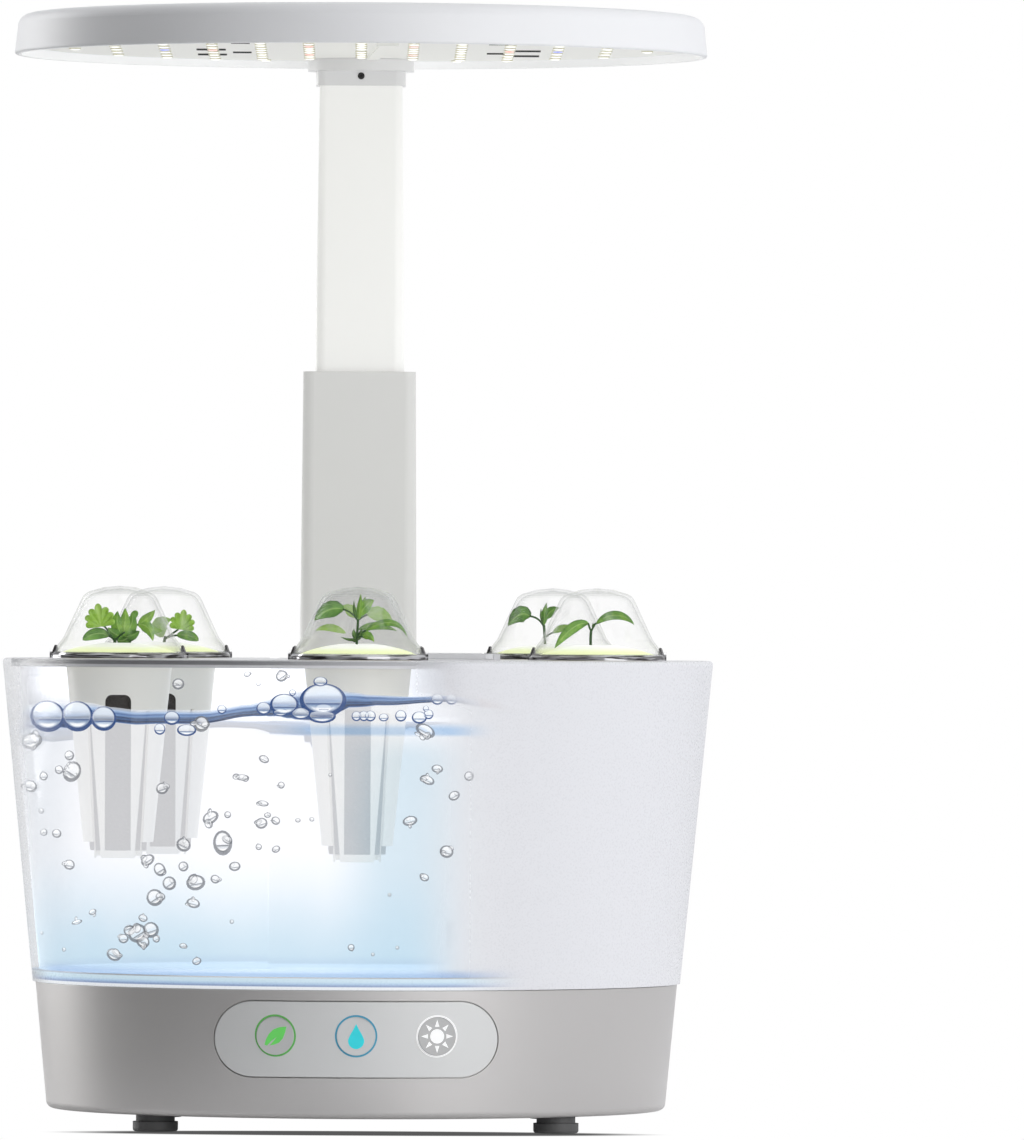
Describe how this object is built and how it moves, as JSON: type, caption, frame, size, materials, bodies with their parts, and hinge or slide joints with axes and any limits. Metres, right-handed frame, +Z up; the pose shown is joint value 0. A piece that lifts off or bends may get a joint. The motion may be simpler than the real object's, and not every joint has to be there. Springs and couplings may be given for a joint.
{
  "type": "countertop hydroponic garden",
  "caption": "Countertop hydroponic garden: tapered water bowl on a grey base with a touch panel, seed pods under clear domes, and a light hood on a telescoping mast.",
  "frame": {"origin": "centre of the overall box at the soles of the feet, on the bowl's axis", "axes": "+Z up, the control panel faces -Y, the mast stands at +Y"},
  "size_m": [0.267, 0.267, 0.4169],
  "materials": {
    "base_grey": "warm grey, satin with a faint metallic grain",
    "plate_grey": "fine moulded texture",
    "screw_steel": "zinc plated",
    "foot_rubber": "soft black rubber",
    "panel_silver": "silver overlay, satin",
    "button_satin": "satin silver",
    "lens_clear": "smoked light pipe",
    "circuit_green": "solder mask",
    "jack_black": "moulded black",
    "motor_metal": "motor can",
    "magnet_dark": "nickel plated magnet",
    "column_grey": "light grey, smooth",
    "bowl_clear_white": "cool white, clear towards its left side",
    "pump_dark": "moulded charcoal",
    "impeller_white": "moulded white",
    "float_orange": "foam filled",
    "deck_white": "cool white gloss",
    "mast_white": "warm white, smooth",
    "hood_white": "cool white, smooth",
    "board_white": "white solder mask",
    "led_white": "lit diode",
    "led_red": "lit diode",
    "led_blue": "lit diode",
    "screw_black": "black oxide",
    "basket_ivory": "ivory polypropylene",
    "sponge_grey": "damp growing sponge",
    "label_paper": "white paper with a yellow-green border",
    "leaf_green": "young leaf, soft sheen",
    "dome_clear": "clear thermoformed plastic"
  },
  "bodies": {
    "base": {"base_shell": "base_grey", "bottom_plate": "plate_grey", "base_screws": "screw_steel", "feet": "foot_rubber", "control_panel": "panel_silver", "water_lens": "lens_clear", "control_board": "circuit_green", "dc_jack": "jack_black", "pump_motor": "motor_metal", "rear_column": "column_grey", "mast_outer": "column_grey", "mast_guide": "jack_black"},
    "food_button": {"food_button": "button_satin"},
    "light_button": {"light_button": "button_satin"},
    "drive_magnet": {"drive_magnet": "magnet_dark"},
    "light_mast": {"mast_inner": "mast_white", "hood_shell": "hood_white", "hood_hub": "mast_white", "led_board": "board_white", "white_leds": "led_white", "red_leds": "led_red", "blue_leds": "led_blue", "hood_screws": "screw_black", "board_lead": "board_white"},
    "bowl": {"bowl": "bowl_clear_white", "pump_cover": "pump_dark"},
    "impeller": {"impeller": "impeller_white"},
    "level_float": {"level_float": "float_orange"},
    "deck": {"grow_deck": "deck_white"},
    "fill_lid": {"fill_lid": "deck_white"},
    "pod_1": {"basket_1": "basket_ivory", "sponge_1": "sponge_grey", "label_1": "label_paper", "seedling_1": "leaf_green"},
    "dome_1": {"dome_1": "dome_clear"},
    "pod_2": {"basket_2": "basket_ivory", "sponge_2": "sponge_grey", "label_2": "label_paper", "seedling_2": "leaf_green"},
    "dome_2": {"dome_2": "dome_clear"},
    "pod_3": {"basket_3": "basket_ivory", "sponge_3": "sponge_grey", "label_3": "label_paper", "seedling_3": "leaf_green"},
    "dome_3": {"dome_3": "dome_clear"},
    "pod_4": {"basket_4": "basket_ivory", "sponge_4": "sponge_grey", "label_4": "label_paper", "seedling_4": "leaf_green"},
    "dome_4": {"dome_4": "dome_clear"},
    "pod_5": {"basket_5": "basket_ivory", "sponge_5": "sponge_grey", "label_5": "label_paper", "seedling_5": "leaf_green"},
    "dome_5": {"dome_5": "dome_clear"},
    "pod_6": {"basket_6": "basket_ivory", "sponge_6": "sponge_grey", "label_6": "label_paper", "seedling_6": "leaf_green"},
    "dome_6": {"dome_6": "dome_clear"}
  },
  "joints": [
    {"name": "food_button_press", "type": "slide", "parent": "base", "child": "food_button", "axis": [0.2493, 0.9684, 0], "range_m": [0, 0.001], "stiffness_N_per_m": 600, "springref_m": -0.0004},
    {"name": "light_button_press", "type": "slide", "parent": "base", "child": "light_button", "axis": [-0.2493, 0.9684, 0], "range_m": [0, 0.001], "stiffness_N_per_m": 600, "springref_m": -0.0004},
    {"name": "magnet_spin", "type": "hinge", "parent": "base", "child": "drive_magnet", "pos_m": [0.064, 0.042, 0.048], "axis": [0, 0, 1], "continuous": true},
    {"name": "mast_slide", "type": "slide", "parent": "base", "child": "light_mast", "axis": [0, 0, 1], "range_m": [-0.106, 0.08]},
    {"name": "bowl_lift", "type": "slide", "parent": "base", "child": "bowl", "axis": [0, 0, 1], "range_m": [0, 0.03]},
    {"name": "impeller_spin", "type": "hinge", "parent": "bowl", "child": "impeller", "pos_m": [0.064, 0.042, 0.066], "axis": [0, 0, 1], "continuous": true},
    {"name": "float_slide", "type": "slide", "parent": "bowl", "child": "level_float", "axis": [0, 0, 1], "range_m": [-0.08, 0]},
    {"name": "deck_lift", "type": "slide", "parent": "bowl", "child": "deck", "axis": [0, 0, 1], "range_m": [0, 0.09]},
    {"name": "lid_hinge", "type": "hinge", "parent": "deck", "child": "fill_lid", "pos_m": [0.03326, -0.0355, 0.1765], "axis": [-1, 0, 0], "range_deg": [0, 105]},
    {"name": "pod_1_lift", "type": "slide", "parent": "deck", "child": "pod_1", "axis": [0, 0, 1], "range_m": [0, 0.085]},
    {"name": "pod_2_lift", "type": "slide", "parent": "deck", "child": "pod_2", "axis": [0, 0, 1], "range_m": [0, 0.085]},
    {"name": "pod_3_lift", "type": "slide", "parent": "deck", "child": "pod_3", "axis": [0, 0, 1], "range_m": [0, 0.085]},
    {"name": "pod_4_lift", "type": "slide", "parent": "deck", "child": "pod_4", "axis": [0, 0, 1], "range_m": [0, 0.085]},
    {"name": "pod_5_lift", "type": "slide", "parent": "deck", "child": "pod_5", "axis": [0, 0, 1], "range_m": [0, 0.085]},
    {"name": "pod_6_lift", "type": "slide", "parent": "deck", "child": "pod_6", "axis": [0, 0, 1], "range_m": [0, 0.085]},
    {"name": "dome_1_lift", "type": "slide", "parent": "pod_1", "child": "dome_1", "axis": [0, 0, 1], "range_m": [0, 0.035]},
    {"name": "dome_2_lift", "type": "slide", "parent": "pod_2", "child": "dome_2", "axis": [0, 0, 1], "range_m": [0, 0.035]},
    {"name": "dome_3_lift", "type": "slide", "parent": "pod_3", "child": "dome_3", "axis": [0, 0, 1], "range_m": [0, 0.035]},
    {"name": "dome_4_lift", "type": "slide", "parent": "pod_4", "child": "dome_4", "axis": [0, 0, 1], "range_m": [0, 0.035]},
    {"name": "dome_5_lift", "type": "slide", "parent": "pod_5", "child": "dome_5", "axis": [0, 0, 1], "range_m": [0, 0.035]},
    {"name": "dome_6_lift", "type": "slide", "parent": "pod_6", "child": "dome_6", "axis": [0, 0, 1], "range_m": [0, 0.035]}
  ],
  "couplings": [
    {"joint": "impeller_spin", "follows": "magnet_spin", "ratio": 1}
  ]
}
